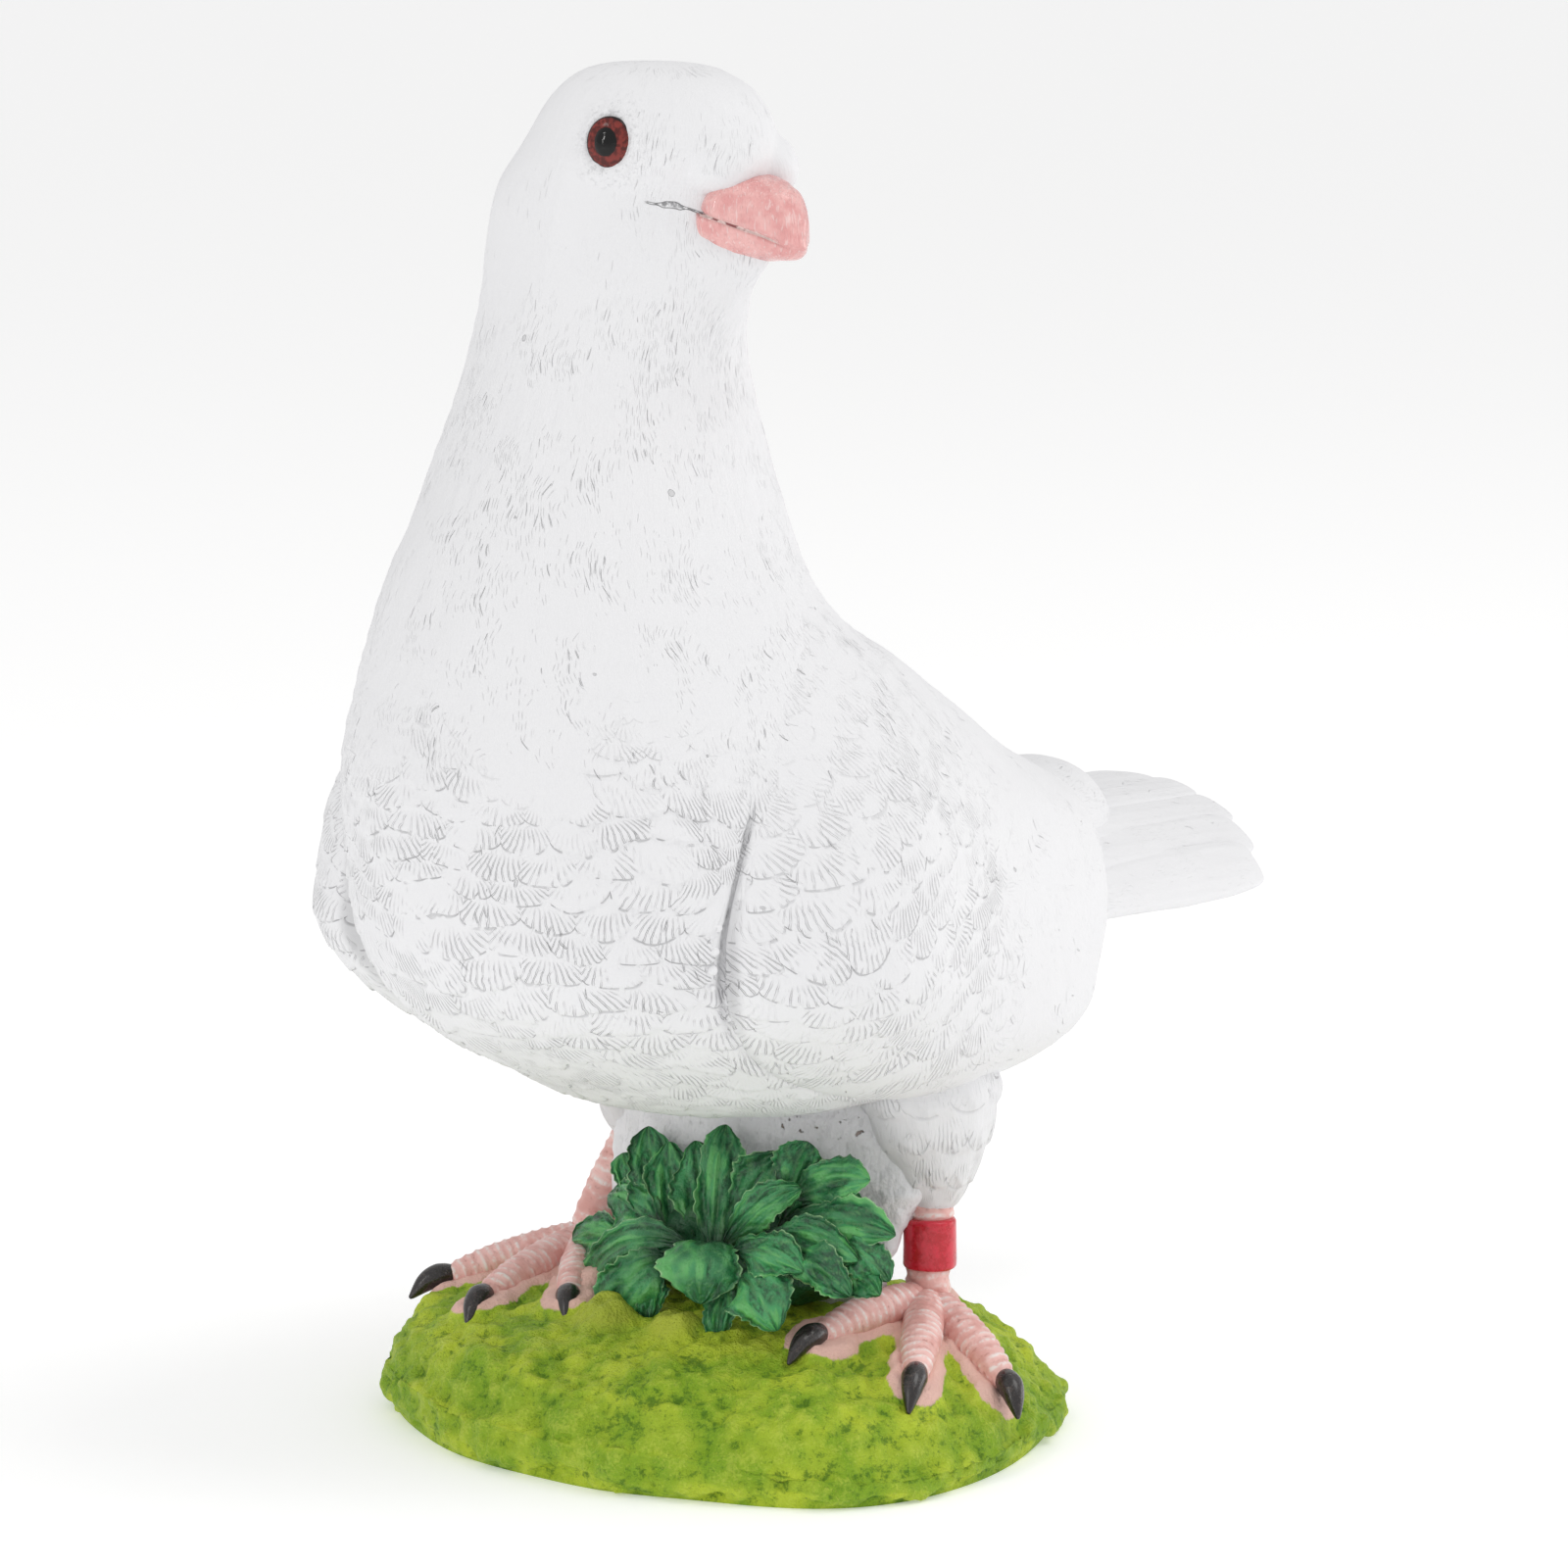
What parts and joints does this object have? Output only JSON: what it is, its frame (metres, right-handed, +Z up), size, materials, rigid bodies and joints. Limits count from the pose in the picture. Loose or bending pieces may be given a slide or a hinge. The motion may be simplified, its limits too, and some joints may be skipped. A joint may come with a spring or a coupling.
{
  "type": "garden dove statue",
  "caption": "Life-size painted garden statue of a standing white dove that looks to its left, astride a clump of leaves on a grassy mound, and stands on a flat underside.",
  "frame": {"origin": "middle of the mound's flat underside", "axes": "+Z up; the dove's breast faces -Y and its tail points to +Y; +X is the dove's left, to which the head is turned"},
  "size_m": [0.1305, 0.2343, 0.2505],
  "materials": {
    "white_paint": "matte white paint on cast resin",
    "pink_paint": "satin pink paint on the bill, legs and toes",
    "claw_paint": "glossy brown-black paint on the claws",
    "eye_paint": "glossy red-brown iris round a black pupil",
    "band_paint": "glossy red paint on the leg band",
    "leaf_paint": "satin deep green paint with paler edges",
    "grass_paint": "matte lime green paint, mottled darker"
  },
  "bodies": {
    "root": {"dove_statue": "white_paint"}
  },
  "joints": []
}
